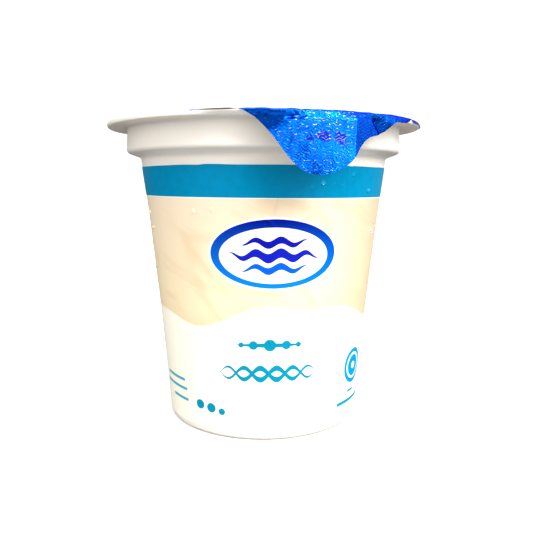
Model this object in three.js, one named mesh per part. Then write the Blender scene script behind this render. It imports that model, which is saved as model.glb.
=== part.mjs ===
// A 125 g yogurt pot, shut and full: a white plastic cup, a printed film label round its wall, and a
// foil lid sealed on its flange. The lid's pull tab is folded down over the edge at the front right.
// Millimetres, +Z up. The base stands on z = 0 with its centre at the origin, and the front faces -Y.
// Azimuths are degrees round the pot, 0 at the front and positive towards +X.
import * as THREE from "three";

const turns = 72; // facets round the pot

// Cup
const flangeRadius = 37.5; // the usual 75 mm sealing flange
const flangeTop = 70.95;
const flangePlate = 0.7; // thickness between neck and lip
const lipHeight = 0.9; // the flange's outer edge turns down a little
const lipWidth = 0.8;
const lipSoftening = 0.15;
const neckRadius = 33.2; // the stacking collar, at its widest just above the shoulder
const neckDraft = 0.25; // how much narrower it is under the flange
const neckFillet = 0.6;
const shoulderHeight = 64.2; // underside of the step down to the body
const shoulderCorner = 1.0;
const shoulderFillet = 1.0;
const shoulderSlope = 18; // degrees by which that underside climbs outwards
const wallTop = { radius: 29.85, height: 62.6 };
const baseRadius = 23.7; // where the wall's line meets the floor
const wallBow = 0.44; // the wall is this much slimmer at half height than a straight cone
const baseCorner = 1.0;
const footWidth = 2.0; // flat ring that the pot stands on
const baseRecess = 1.2;

// Label
const labelBottom = 1.6;
const labelTop = 61.1;
const labelGap = 0.05; // between the cup's wall and the film
const labelThickness = 0.15;
const wallRows = 5;

// Lid
const foil = 0.25; // thickness of the sheet
const lidTop = flangeTop + foil;
const bend = 0.5; // outer radius of the bend over the flange's edge
const bendCentre = flangeRadius - 0.15; // radius at which the foil starts to bend down
const hungRadius = bendCentre + bend; // outside of the foil where it lies against the lip
const tabRow = 1.1; // spacing of the rows down the tab

// The tab's lower edge, [azimuth, drop below the lid's top], from its left root to its right one.
const tabOutline = [
  [-7, 0],
  [-3.6, 1.2],
  [-1.7, 2.05],
  [2.1, 4.7],
  [7.8, 9.45],
  [11.9, 11.6],
  [16.6, 12.15],
  [22.2, 11.05],
  [26, 8.9],
  [29.2, 6.5],
  [32.5, 5],
  [39.1, 3.9],
  [44.7, 1.6],
  [52.4, 1.2],
  [57.4, 0],
];

// The tab's creases. Each starts at an azimuth and radius at the lid's top and runs straight down,
// sideways and outwards. The foil is flat from one to the next.
const creases = [
  { azimuth: -8, radius: hungRadius, sideways: 0, outwards: 0, columns: 8 },
  { azimuth: 12.9, radius: 37.9, sideways: -2.2, outwards: 0.157, columns: 16 },
  { azimuth: 27.2, radius: 39.3, sideways: -0.14, outwards: 0.03, columns: 6 },
  { azimuth: 32.7, radius: 37.9, sideways: 1.63, outwards: -0.1, columns: 5 },
  { azimuth: 45, radius: 38.4, sideways: 0, outwards: 0, columns: 6 },
  { azimuth: 58, radius: hungRadius, sideways: 0, outwards: 0, columns: 0 },
];
const settleDrop = 3.2; // the foil leaves the lip's curve and reaches its flat faces by here
const tipFlare = 0.9; // the tip stands out by this much more
const flareStart = 4;
const flareEnd = 12;

const radians = THREE.MathUtils.degToRad;
const { lerp, smoothstep } = THREE.MathUtils;

// Radius of the cup's outer wall at a height.
function wallRadius(z) {
  const t = z / wallTop.height;
  return lerp(baseRadius, wallTop.radius, t) - 4 * wallBow * t * (1 - t);
}

// Points along an arc; its angles are degrees from straight outwards.
function arc(centreR, centreZ, radius, from, to, steps) {
  return Array.from({ length: steps + 1 }, (_, i) => {
    const a = radians(lerp(from, to, i / steps));
    return [centreR + radius * Math.cos(a), centreZ + radius * Math.sin(a)];
  });
}

// Points up the wall between two heights, standing off it.
function wallPoints(from, to, offset) {
  return Array.from({ length: wallRows + 1 }, (_, i) => {
    const z = lerp(from, to, i / wallRows);
    return [wallRadius(z) + offset, z];
  });
}

// A solid turned about Z from [radius, height] points that run up its outside.
function turned(profile) {
  const points = profile.map(([r, z]) => new THREE.Vector2(r, z));
  return new THREE.LatheGeometry(points, turns).rotateX(Math.PI / 2);
}

// The cup is solid, as a shut pot can't be seen into.
function makeCup() {
  const footOuter = wallRadius(baseCorner) - baseCorner;
  const footInner = footOuter - footWidth;
  const filletR = wallTop.radius + shoulderFillet;
  const cornerR = neckRadius - shoulderCorner;
  const underFlange = neckRadius - neckDraft;
  const plateBottom = flangeTop - flangePlate;
  const lipBottom = flangeTop - lipHeight;
  const lipInner = flangeRadius - lipWidth;
  return turned([
    [0, baseRecess],
    [footInner - baseRecess, baseRecess],
    [footInner, 0],
    ...arc(footOuter, baseCorner, baseCorner, -90, 0, 3),
    ...wallPoints(labelBottom, labelTop, 0),
    ...arc(filletR, wallTop.height, shoulderFillet, 180, 90 + shoulderSlope, 3),
    ...arc(cornerR, shoulderHeight + shoulderCorner, shoulderCorner, shoulderSlope - 90, 0, 4),
    [underFlange, plateBottom - neckFillet],
    [underFlange + neckFillet, plateBottom],
    [lipInner, plateBottom],
    [lipInner + lipSoftening, lipBottom],
    [flangeRadius - lipSoftening, lipBottom],
    [flangeRadius, lipBottom + lipSoftening],
    [flangeRadius, flangeTop - lipSoftening],
    [flangeRadius - lipSoftening, flangeTop],
    [0, flangeTop],
  ]);
}

function makeLabel() {
  const inside = wallPoints(labelBottom, labelTop, labelGap);
  const outside = wallPoints(labelBottom, labelTop, labelGap + labelThickness);
  return turned([...outside, ...inside.reverse(), outside[0]]);
}

// A point in plan, with y towards the front.
function plan(radius, azimuth) {
  const a = radians(azimuth);
  return new THREE.Vector2(radius * Math.sin(a), radius * Math.cos(a));
}

// Where a column of the tab is in plan, at some drop below the lid's top.
function tabPlan(column, drop) {
  const [left, right] = [creases[column.crease], creases[column.crease + 1]].map((c) =>
    plan(c.radius + c.outwards * drop, c.azimuth + c.sideways * drop),
  );
  const flat = left.lerp(right, column.share);
  const settled = lerp(hungRadius, flat.length(), smoothstep(drop, 0, settleDrop));
  return flat.setLength(settled + tipFlare * smoothstep(drop, flareStart, flareEnd));
}

// How far down the tab's edge lies at an azimuth.
const outline = new THREE.SplineCurve(tabOutline.map((p) => new THREE.Vector2(...p))).getPoints(300);
function edgeDrop(azimuth) {
  const next = outline.findIndex((p) => p.x > azimuth);
  if (next < 1) return 0;
  const [p, q] = [outline[next - 1], outline[next]];
  return lerp(p.y, q.y, (azimuth - p.x) / (q.x - p.x));
}

// The drop at which a column of the tab crosses that edge, found by halving.
function columnDrop(column) {
  let [above, below] = [0, 20];
  for (let i = 0; i < 30; i++) {
    const middle = (above + below) / 2;
    const at = tabPlan(column, middle);
    const azimuth = THREE.MathUtils.radToDeg(Math.atan2(at.x, at.y));
    if (middle < edgeDrop(azimuth)) above = middle;
    else below = middle;
  }
  return above;
}

// Outer and inner points from the start of the bend down to the foil's edge, for one column.
function lidColumn(column) {
  const depth = column.azimuth === undefined ? columnDrop(column) : 0;
  const outer = [];
  const inner = [];
  const add = (at, radius, drop, lean) => {
    const out = at.clone().setLength(radius);
    const back = at.clone().setLength(radius - foil * Math.cos(lean));
    outer.push([out.x, -out.y, lidTop - drop]);
    inner.push([back.x, -back.y, lidTop - drop - foil * Math.sin(lean)]);
  };
  const top = column.azimuth === undefined ? tabPlan(column, 0) : plan(1, column.azimuth);
  add(top, bendCentre, 0, Math.PI / 2);
  if (depth < 0.1) {
    add(top, flangeRadius, 0, Math.PI / 2);
    return { outer, inner };
  }
  for (const share of [0.5, 1]) {
    const lean = Math.max((Math.PI / 2) * (1 - share), Math.asin(Math.max(0, 1 - depth / bend)));
    add(top, bendCentre + bend * Math.cos(lean), bend * (1 - Math.sin(lean)), lean);
  }
  for (let drop = bend + tabRow; drop < depth - 0.3 * tabRow; drop += tabRow) {
    const at = tabPlan(column, drop);
    add(at, at.length(), drop, 0);
  }
  if (depth > bend + 0.1) {
    const at = tabPlan(column, depth);
    add(at, at.length(), depth, 0);
  }
  return { outer, inner };
}

function makeLid() {
  const columns = creases.flatMap((crease, i) =>
    Array.from({ length: crease.columns }, (_, j) => ({ crease: i, share: j / crease.columns })),
  );
  const step = 360 / turns;
  for (let azimuth = 60; azimuth < 350; azimuth += step) columns.push({ azimuth });
  const sides = columns.map(lidColumn);

  const vertices = [];
  const faces = [];
  const place = (point) => vertices.push(point) - 1;
  const topCentre = place([0, 0, lidTop]);
  const bottomCentre = place([0, 0, flangeTop]);
  for (const side of sides) {
    side.outer = side.outer.map(place);
    side.inner = side.inner.map(place);
  }
  sides.forEach((a, i) => {
    const b = sides[(i + 1) % sides.length];
    faces.push([topCentre, a.outer[0], b.outer[0]], [bottomCentre, b.inner[0], a.inner[0]]);
    // Where one column is longer, its extra rows close on the last point of the other.
    const [lastA, lastB] = [a.outer.length - 1, b.outer.length - 1];
    for (let row = 1; row <= Math.max(lastA, lastB); row++) {
      const above = Math.min(row - 1, lastB);
      const across = Math.min(row, lastA);
      if (row <= lastA) {
        faces.push([a.outer[row - 1], a.outer[row], b.outer[above]]);
        faces.push([a.inner[row], a.inner[row - 1], b.inner[above]]);
      }
      if (row <= lastB) {
        faces.push([a.outer[across], b.outer[row], b.outer[row - 1]]);
        faces.push([a.inner[across], b.inner[row - 1], b.inner[row]]);
      }
    }
    faces.push([a.outer[lastA], a.inner[lastA], b.outer[lastB]]);
    faces.push([a.inner[lastA], b.inner[lastB], b.outer[lastB]]);
  });

  const geometry = new THREE.BufferGeometry();
  geometry.setAttribute("position", new THREE.Float32BufferAttribute(vertices.flat(), 3));
  geometry.setIndex(faces.flat());
  geometry.computeVertexNormals();
  return geometry;
}

const pieces = {
  cup: { make: makeCup, finish: { color: 0xf1ece2, roughness: 0.35, metalness: 0 } },
  label: { make: makeLabel, finish: { color: 0xf6efdf, roughness: 0.3, metalness: 0 } },
  foil_lid: { make: makeLid, finish: { color: 0x0a62e0, roughness: 0.3, metalness: 0.9 } },
};

const pot = new THREE.Group();
for (const [name, { make, finish }] of Object.entries(pieces)) {
  const mesh = new THREE.Mesh(make(), new THREE.MeshStandardMaterial(finish));
  mesh.name = name;
  pot.add(mesh);
}

export default pot;
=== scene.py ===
# A shut yogurt pot: white plastic cup, printed film label, blue foil lid with its pull tab folded down.
# Blender works in metres; the dictionaries and the shape functions below are in millimetres and degrees.
# Azimuths run round the pot, 0 at the front (-Y) and positive towards +X.
import bisect
import math
import bpy
from mathutils import Matrix, Vector, noise


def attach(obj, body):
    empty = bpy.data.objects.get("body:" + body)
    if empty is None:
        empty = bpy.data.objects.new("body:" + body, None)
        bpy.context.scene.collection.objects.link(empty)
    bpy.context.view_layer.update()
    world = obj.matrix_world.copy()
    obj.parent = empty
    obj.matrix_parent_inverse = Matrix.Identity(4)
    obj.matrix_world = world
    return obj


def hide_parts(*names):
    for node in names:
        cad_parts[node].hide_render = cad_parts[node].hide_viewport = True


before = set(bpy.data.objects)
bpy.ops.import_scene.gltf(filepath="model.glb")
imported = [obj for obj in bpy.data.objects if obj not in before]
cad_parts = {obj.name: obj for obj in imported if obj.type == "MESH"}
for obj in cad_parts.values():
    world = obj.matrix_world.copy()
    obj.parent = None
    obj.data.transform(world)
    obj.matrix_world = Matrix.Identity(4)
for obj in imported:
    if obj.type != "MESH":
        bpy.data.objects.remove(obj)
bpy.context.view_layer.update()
bpy.ops.object.select_all(action="DESELECT")
mm = 0.001


def lerp(a, b, share):
    return a + (b - a) * share


def smoothStep(x, low, high):
    t = min(max((x - low) / (high - low), 0.0), 1.0)
    return t * t * (3 - 2 * t)


def bump(x, centre, halfWidth):  # 1 at the centre, 0 beyond the half width, smooth between
    return 1 - smoothStep(abs(x - centre), 0.0, halfWidth)


def hill(x, foot, top, topEnd, footEnd):  # climbs from 0 at the foot to 1 at the top, and down again
    return smoothStep(x, foot, top) * (1 - smoothStep(x, topEnd, footEnd))


def waver(x, y, z):  # smooth noise, about -1 to 1
    return noise.noise(Vector((x, y, z)))


def turnFrom(centre, azimuth):  # degrees from one azimuth to another, the short way round
    return (azimuth - centre + 180) % 360 - 180


def linearColour(hexText):  # "#RRGGBB" in sRGB to Blender's linear colour
    channels = [int(hexText[i:i + 2], 16) / 255 for i in (1, 3, 5)]
    return tuple(c / 12.92 if c <= 0.04045 else ((c + 0.055) / 1.055) ** 2.4 for c in channels) + (1.0,)


def addNode(tree, kind, inputs=None, **settings):  # adds a node, sets it, links what is a socket
    node = tree.nodes.new("ShaderNode" + kind)
    for name, value in settings.items():
        setattr(node, name, value)
    for name, value in (inputs or {}).items():
        if isinstance(value, bpy.types.NodeSocket):
            tree.links.new(value, node.inputs[name])
        else:
            node.inputs[name].default_value = value
    return node.outputs


def newMaterial(name):  # an empty node tree with its output node
    material = bpy.data.materials.new(name)
    material.use_nodes = True
    material.node_tree.nodes.clear()
    output = material.node_tree.nodes.new("ShaderNodeOutputMaterial")
    return material, material.node_tree, output


def azimuthOf(tree, axes):  # radians round the pot
    towardsFront = addNode(tree, "Math", {0: axes[1], 1: -1.0}, operation="MULTIPLY")[0]
    return addNode(tree, "Math", {0: axes[0], 1: towardsFront}, operation="ARCTAN2")[0]


def sineWave(tree, value, wavelength, start=0.0):
    wave = addNode(tree, "Math", {0: value, 1: 2 * math.pi / wavelength, 2: start}, operation="MULTIPLY_ADD")[0]
    return addNode(tree, "Math", {0: wave}, operation="SINE")[0]


def ovalReach(tree, where, centre, half, tilt=0.0):  # 0 in the middle of an oval, 1 on its edge
    reach = addNode(tree, "VectorMath", {0: where, 1: (*centre, 0.0)}, operation="SUBTRACT")[0]
    reach = addNode(tree, "VectorRotate", {"Vector": reach, "Angle": math.radians(tilt)}, rotation_type="Z_AXIS")[0]
    reach = addNode(tree, "VectorMath", {0: reach, 1: (*half, 1.0)}, operation="DIVIDE")[0]
    return addNode(tree, "VectorMath", {0: reach}, operation="LENGTH")[1]


def activate(piece):  # makes a piece the only selected and the active object
    bpy.ops.object.select_all(action="DESELECT")
    piece.select_set(True)
    bpy.context.view_layer.objects.active = piece


def joinInto(piece, others):
    activate(piece)
    for other in others:
        other.select_set(True)
    bpy.ops.object.join()


def settle(piece):  # puts a piece's place into its mesh
    activate(piece)
    bpy.ops.object.transform_apply(location=True, rotation=True, scale=True)


def applyModifiers(piece):
    activate(piece)
    for modifier in list(piece.modifiers):
        bpy.ops.object.modifier_apply(modifier=modifier.name)


def shadeSmooth(piece, sharpFrom):  # edges sharper than this many degrees stay sharp
    activate(piece)
    bpy.ops.object.shade_smooth_by_angle(angle=math.radians(sharpFrom))


def paint(piece, *materials):
    piece.data.materials.clear()
    for material in materials:
        piece.data.materials.append(material)


# The camera, as the photograph was taken: metres and radians, with the lens in mm
photoCamera = {
    "place": (0.0, -0.148853, 0.057372), "lens": 39.59, "sensor": 36.0, "clip": (0.01, 20.0),
    "pitch": 0.14079, "yaw": 0.0057156, "roll": 0.0027324,
}

bpy.ops.object.camera_add(location=photoCamera["place"])
camera = bpy.context.object
turn = Matrix.Rotation(-photoCamera["yaw"], 4, "Z") @ Matrix.Rotation(math.pi / 2 - photoCamera["pitch"], 4, "X")
camera.rotation_euler = (turn @ Matrix.Rotation(photoCamera["roll"], 4, "Z")).to_euler()
camera.data.lens = photoCamera["lens"]
camera.data.sensor_width = photoCamera["sensor"]
camera.data.clip_start, camera.data.clip_end = photoCamera["clip"]
bpy.context.scene.camera = camera

# The floor and the light round the pot
studio = {
    "floorHalf": 3.0, "floorColour": "#F4F4F2", "floorGrain": "#F1F1EF", "grainSize": 2.5,  # floor half in metres
    "suns": [  # name, azimuth and height it comes from, strength, spread in degrees, glints
        ("key_light", (48.0, 38.0), 1.22, 30.0, False),
        ("front_light", (17.0, 46.0), 0.5, 12.0, False),  # gives the tab its shadow on the band
        ("lamp", (55.0, 40.0), 0.34, 4.5, True),  # a bare lamp, for the small glints
        ("back_fill", (186.0, 38.0), 1.5, 60.0, False),  # lights the back alone
    ],
    "room": 0.2,  # what is left beside the softboxes
    "softboxes": [  # azimuth, height, cosine at the edge, gain
        (4.0, 48.0, 0.1, 0.68), (50.0, 38.0, 0.84, 2.4), (-52.0, 34.0, 0.33, 1.24), (78.0, 24.0, 0.4, 0.32),
        (145.0, 55.0, 0.35, 0.8), (2.0, -30.0, 0.12, 1.17), (102.0, 12.0, 0.9, 0.42), (49.0, 10.0, 0.93, 0.74),
        (32.0, -8.0, 0.87, 0.5),
    ],
    "gapAt": -3.4, "gapHalf": 22.0, "gapEdge": 5.0, "gapDim": 0.18,  # the dark gap where the camera stands
    "gapTop": (0.66, 0.86), "gapFoot": (-0.16, -0.34),  # sines of the heights between which it fades out
    "tableDim": 0.5, "tableEdge": (-0.22, 0.16),  # what comes up from the table, and where that starts
    "backdrop": 1.0,
}

bpy.ops.mesh.primitive_plane_add(size=2 * studio["floorHalf"], location=(0, 0, 0))
floor = bpy.context.object
floor.name = "floor"
floorPaint, tree, output = newMaterial("matt_white_card")  # matt card: no gloss, lets the pot's shadow fade out
place = addNode(tree, "TexCoord")[3]
grain = addNode(tree, "TexNoise", {"Vector": place, "Scale": 1 / (studio["grainSize"] * mm), "Detail": 2.0})[0]
tone = addNode(tree, "Mix", {
    0: grain, 6: linearColour(studio["floorGrain"]), 7: linearColour(studio["floorColour"]),
}, data_type="RGBA")[2]
card = addNode(tree, "BsdfPrincipled", {"Base Color": tone, "Roughness": 0.9, "Specular IOR Level": 0.1})[0]
tree.links.new(card, output.inputs["Surface"])
paint(floor, floorPaint)
floor.visible_diffuse = False  # the light from below comes from the world alone
floor.visible_shadow = False
floor.visible_glossy = False


def skyward(azimuth, height):  # the unit vector that points there
    a, h = math.radians(azimuth), math.radians(height)
    return Vector((math.sin(a) * math.cos(h), -math.cos(a) * math.cos(h), math.sin(h)))


for name, comesFrom, energy, spread, glints in studio["suns"]:
    towards = skyward(*comesFrom)
    bpy.ops.object.light_add(type="SUN", location=towards)
    sun = bpy.context.object
    sun.name = name
    sun.rotation_euler = towards.to_track_quat("Z", "Y").to_euler()
    sun.data.energy = energy
    sun.data.angle = math.radians(spread)
    sun.visible_glossy = glints

world = bpy.data.worlds.new("studio")
bpy.context.scene.world = world
world.use_nodes = True
tree = world.node_tree
tree.nodes.clear()
direction = addNode(tree, "TexCoord")[0]
strength = studio["room"]
for azimuth, height, edge, gain in studio["softboxes"]:
    facing = addNode(tree, "VectorMath", {0: direction, 1: skyward(azimuth, height)}, operation="DOT_PRODUCT")[1]
    lit = addNode(tree, "MapRange", {
        "Value": facing, "From Min": edge, "From Max": 1.0, "To Max": gain,
    }, interpolation_type="SMOOTHSTEP")[0]
    strength = addNode(tree, "Math", {0: lit, 1: strength}, operation="ADD")[0]

# the gap dims a slice of the sky, from a little below the horizon to high above it
axes = addNode(tree, "SeparateXYZ", {0: direction})
off = addNode(tree, "Math", {0: azimuthOf(tree, axes), 1: math.radians(studio["gapAt"])}, operation="SUBTRACT")[0]
off = addNode(tree, "Math", {0: off}, operation="ABSOLUTE")[0]
outside = addNode(tree, "MapRange", {
    "Value": off, "From Min": math.radians(studio["gapHalf"] - studio["gapEdge"]),
    "From Max": math.radians(studio["gapHalf"] + studio["gapEdge"]),
}, interpolation_type="SMOOTHSTEP")[0]
for low, high in (studio["gapTop"], studio["gapFoot"]):
    past = addNode(tree, "MapRange", {
        "Value": axes[2], "From Min": low, "From Max": high,
    }, interpolation_type="SMOOTHSTEP")[0]
    outside = addNode(tree, "Math", {0: past, 1: outside}, operation="MAXIMUM")[0]
dimmed = addNode(tree, "MapRange", {"Value": outside, "To Min": studio["gapDim"]})[0]
strength = addNode(tree, "Math", {0: strength, 1: dimmed}, operation="MULTIPLY")[0]
low, high = studio["tableEdge"]
fromTable = addNode(tree, "MapRange", {
    "Value": axes[2], "From Min": low, "From Max": high, "To Min": studio["tableDim"], "To Max": 1.0,
}, interpolation_type="SMOOTHSTEP")[0]
strength = addNode(tree, "Math", {0: strength, 1: fromTable}, operation="MULTIPLY")[0]
soft = addNode(tree, "Background", {"Color": (1.0, 1.0, 1.0, 1.0), "Strength": strength})[0]
plain = addNode(tree, "Background", {"Color": (1.0, 1.0, 1.0, 1.0), "Strength": studio["backdrop"]})[0]
seenByCamera = addNode(tree, "LightPath")[0]
seen = addNode(tree, "MixShader", {0: seenByCamera, 1: soft, 2: plain})[0]
tree.links.new(seen, tree.nodes.new("ShaderNodeOutputWorld").inputs["Surface"])
bpy.context.scene.view_settings.view_transform = "Standard"
bpy.context.scene.view_settings.look = "Medium High Contrast"
print("stage: camera, floor and light are set")


def arc(centreR, centreZ, radius, start, end, steps):  # angles are degrees from straight outwards
    angles = [math.radians(lerp(start, end, i / steps)) for i in range(steps + 1)]
    return [(centreR + radius * math.cos(a), centreZ + radius * math.sin(a)) for a in angles]


def turned(name, profile, steps):  # draws the profile as a chain of edges and spins it round the pot's axis
    bpy.ops.mesh.primitive_plane_add(size=mm, location=(0, 0, 0))
    shell = bpy.context.object
    shell.name = name
    bpy.ops.object.mode_set(mode="EDIT")
    bpy.ops.mesh.select_all(action="SELECT")
    bpy.ops.mesh.merge(type="CENTER")
    here = Vector((0, 0, 0))
    for i, (radius, height) in enumerate(profile):
        there = Vector((radius * mm, 0, height * mm))
        if i == 0:
            bpy.ops.transform.translate(value=there - here)
        else:
            bpy.ops.mesh.extrude_vertices_move(TRANSFORM_OT_translate={"value": there - here})
        here = there
    bpy.ops.mesh.select_all(action="SELECT")
    bpy.ops.mesh.spin(steps=steps, angle=2 * math.pi, center=(0, 0, 0), axis=(0, 0, 1))
    bpy.ops.mesh.select_all(action="SELECT")
    bpy.ops.mesh.remove_doubles(threshold=0.002 * mm)
    bpy.ops.mesh.normals_make_consistent(inside=False)
    bpy.ops.object.mode_set(mode="OBJECT")
    return shell


# The cup, thick enough to stand for its thin wall and what it holds
cup = {
    "flangeRadius": 37.5, "flangeTop": 71.13, "flangePlate": 0.85, "lipHeight": 1.05, "lipWidth": 0.8,
    "lipFoot": 0.28, "lipCorner": 0.35, "lipTop": 0.3,  # radii of the lip's rounded edges
    "neckRadius": 33.2, "neckDraft": 0.25, "neckFillet": 0.6, "neckFrom": 65.6,
    "shoulderHeight": 64.2, "shoulderCorner": 1.0, "shoulderFillet": 1.0, "shoulderSlope": 18.0,
    "wallTopRadius": 29.85, "wallTopHeight": 62.6, "baseRadius": 23.7, "wallBow": 0.44,
    "baseCorner": 1.0, "footWidth": 2.0, "footCorner": 0.3,
    "baseRecess": 1.2, "recessWall": 1.4, "recessCorner": 0.8,
    "baseRing": [(8.4, 0.0), (8.8, 0.22), (9.6, 0.22), (10.0, 0.0)],  # radius and height of the moulded ring
    "mouthRadius": 33.0, "mouthDepth": 1.6, "mouthEdge": 0.5, "steps": 240,
    "lipFrom": 36.3, "pulledAt": (-22.0, -13.0, -5.0, 2.0), "pulledBy": 0.75,  # pulled under beside the tab
    "warpedBetween": (61.2, 63.0, 69.0, 70.2),  # heights: thermoformed walls are never quite true
    "warps": [(17.0, 14.0, 0.0, 0.09), (6.0, 5.0, 9.0, 0.02)],  # size across, size up, start, depth
}


def wallRadius(z):
    t = z / cup["wallTopHeight"]
    return lerp(cup["baseRadius"], cup["wallTopRadius"], t) - 4 * cup["wallBow"] * t * (1 - t)


def cupProfile():  # from the middle of the base up the outside and down to the middle of the mouth
    footOuter = wallRadius(cup["baseCorner"]) - cup["baseCorner"]
    footInner = footOuter - cup["footWidth"]
    recess, corner = cup["baseRecess"], cup["recessCorner"]
    profile = [(0, recess)] + [(radius, recess + rise) for radius, rise in cup["baseRing"]]
    profile += [(footInner - cup["recessWall"] - corner, recess)]
    profile += arc(footInner - cup["recessWall"], recess - corner, corner, 80, 20, 4)
    profile += arc(footInner + 0.2, cup["footCorner"], cup["footCorner"], 200, 268, 4)
    profile += arc(footOuter, cup["baseCorner"], cup["baseCorner"], -90, 0, 9)
    profile += [(wallRadius(z), z) for z in range(2, 61, 2)]

    fillet, corner, slope = cup["shoulderFillet"], cup["shoulderCorner"], cup["shoulderSlope"]
    profile += arc(cup["wallTopRadius"] + fillet, cup["wallTopHeight"], fillet, 180, 90 + slope, 8)
    profile += arc(cup["neckRadius"] - corner, cup["shoulderHeight"] + corner, corner, slope - 90, 0, 10)
    top = cup["flangeTop"]
    plateBottom = top - cup["flangePlate"]
    underFlange = cup["neckRadius"] - cup["neckDraft"]
    fillet = cup["neckFillet"]
    neckTo = plateBottom - fillet - 0.4
    profile += [
        (lerp(cup["neckRadius"], underFlange, i / 5), lerp(cup["neckFrom"], neckTo, i / 5)) for i in range(1, 5)
    ]
    profile += arc(underFlange + fillet, plateBottom - fillet, fillet, 180, 90, 7)
    profile += [(35.0, plateBottom + 0.02), (cup["lipFrom"], plateBottom)]

    lipBottom = top - cup["lipHeight"]
    foot, corner, edge = cup["lipFoot"], cup["lipCorner"], cup["lipTop"]
    profile += arc(cup["flangeRadius"] - cup["lipWidth"] / 2, lipBottom + foot, foot, 200, 300, 6)
    profile += arc(cup["flangeRadius"] - corner, lipBottom + 0.4, corner, -50, 0, 4)
    profile += arc(cup["flangeRadius"] - edge, top - edge, edge, 0, 90, 6)
    mouth, edge = cup["mouthRadius"], cup["mouthEdge"]
    profile += [(36.0, top), (34.6, top), (mouth + edge, top)]
    profile += arc(mouth + edge, top - edge, edge, 90, 180, 5)[1:]
    return profile + [(mouth - 0.2, top - cup["mouthDepth"]), (0, top - cup["mouthDepth"])]


def makeCup():
    piece = turned("pot_cup", cupProfile(), cup["steps"])
    for vertex in piece.data.vertices:
        x, y, z = (c / mm for c in vertex.co)
        radius = math.hypot(x, y)
        if radius < 20:
            continue
        outwards = hill(z, *cup["warpedBetween"]) * sum(
            waver(x / across, y / across, z / up + start) * depth for across, up, start, depth in cup["warps"]
        )
        if radius > cup["lipFrom"]:
            pulled = cup["pulledBy"] * hill(math.degrees(math.atan2(x, -y)), *cup["pulledAt"])
            outwards -= pulled * smoothStep(cup["flangeTop"] - z, 0.05, cup["lipHeight"])
        vertex.co.x += x / radius * outwards * mm
        vertex.co.y += y / radius * outwards * mm
    return piece


cupPiece = makeCup()
shadeSmooth(cupPiece, 50)
print("stage: cup is turned")

# The label, a film round the wall
label = {
    "bottom": 1.6, "top": 61.1, "gap": 0.02, "film": 0.07, "rows": 119, "steps": 336,
    "creases": [  # azimuth, height, half length, half width, tilt from upright in degrees, relief
        (38.2, 57.0, 5.5, 0.5, 1, 0.13),
        (5.0, 52.6, 2.6, 0.5, 8, 0.16),
        (2.5, 49.6, 2.4, 0.8, -38, 0.18),
        (-0.5, 29.2, 2.2, 0.5, -35, 0.2),
        (2.2, 25.2, 3.2, 0.5, -14, 0.16),
        (26.5, 12.4, 1.7, 0.5, -48, 0.16),
        (-22.0, 51.8, 0.9, 0.8, 0, 0.08),
        (-62.0, 40.0, 3.4, 0.7, 10, 0.08),
        (108.0, 33.0, 4.5, 0.7, 16, 0.09),
        (203.0, 45.0, 4.0, 0.7, -20, 0.09),
    ],
    "flats": [  # azimuth, half width, depth: the film bridges from one line of glue to the next
        (-16.5, 6.0, 0.05), (15.0, 2.2, 0.04), (-48.0, 7.0, 0.06), (52.0, 5.0, 0.05), (150.0, 7.0, 0.06),
        (-120.0, 6.0, 0.05),
    ],
    "ripples": [(2.1, 15.0, 0.0, 0.07), (6.0, 5.0, 4.0, 0.018)],  # how many round the pot, size up, start, height
    "deepest": 0.05,  # how far the film may sink, before it would touch the wall
    "seam": 180.0, "lap": (-0.3, 0.3, 0.3, 14.0), "lapHeight": 0.09,  # one end laps over the other
    "edgeZone": 3.0, "edgeWaves": 3.0, "edgeWaveHeight": 0.1, "edgeTilt": 0.0025,  # the top edge isn't quite level
    "edgeLiftAt": (-27.0, -24.0, -22.0, -10.0), "edgeLift": 0.16,
}


def labelRelief(azimuth, z):
    a = math.radians(azimuth)
    lift = sum(
        waver(math.sin(a) * count, math.cos(a) * count, z / up + start) * rise
        for count, up, start, rise in label["ripples"]
    )
    for centre, halfWidth, depth in label["flats"]:
        lift -= depth * bump(turnFrom(centre, azimuth), 0, halfWidth) * smoothStep(z, 2, 12)
    for centre, height, halfLength, halfWidth, tilt, relief in label["creases"]:
        across = math.radians(turnFrom(centre, azimuth)) * wallRadius(z)
        along = z - height
        lean = math.radians(tilt)
        side = across * math.cos(lean) - along * math.sin(lean)
        run = along * math.cos(lean) + across * math.sin(lean)
        if abs(side) < halfWidth and abs(run) < halfLength:
            lift += relief * bump(side, 0, halfWidth) * bump(run, 0, halfLength)
    return lift + label["lapHeight"] * hill(turnFrom(label["seam"], azimuth), *label["lap"])


def makeLabel():
    heights = [lerp(label["bottom"], label["top"], i / label["rows"]) for i in range(label["rows"] + 1)]
    profile = [(wallRadius(z) + label["gap"] + label["film"], z) for z in heights]
    piece = turned("pot_label", profile, label["steps"])
    for vertex in piece.data.vertices:
        x, y, z = (c / mm for c in vertex.co)
        a = math.atan2(x, -y)
        azimuth = math.degrees(a)
        edge = smoothStep(z, label["top"] - label["edgeZone"], label["top"])
        waves = label["edgeWaves"]
        ripple = label["edgeWaveHeight"] * waver(math.cos(a) * waves, math.sin(a) * waves, 2)
        ripple += label["edgeLift"] * hill(azimuth, *label["edgeLiftAt"])
        vertex.co.z += edge * (ripple - label["edgeTilt"] * x) * mm
        radius = math.hypot(x, y)
        grown = (radius + max(labelRelief(azimuth, z), -label["deepest"]) * (1 - 0.6 * edge)) / radius
        vertex.co.x *= grown
        vertex.co.y *= grown
    thicken = piece.modifiers.new("film", "SOLIDIFY")
    thicken.thickness = label["film"] * mm
    thicken.offset = -1
    applyModifiers(piece)
    return piece


labelPiece = makeLabel()
shadeSmooth(labelPiece, 50)
print("stage: label is wrapped")

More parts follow.
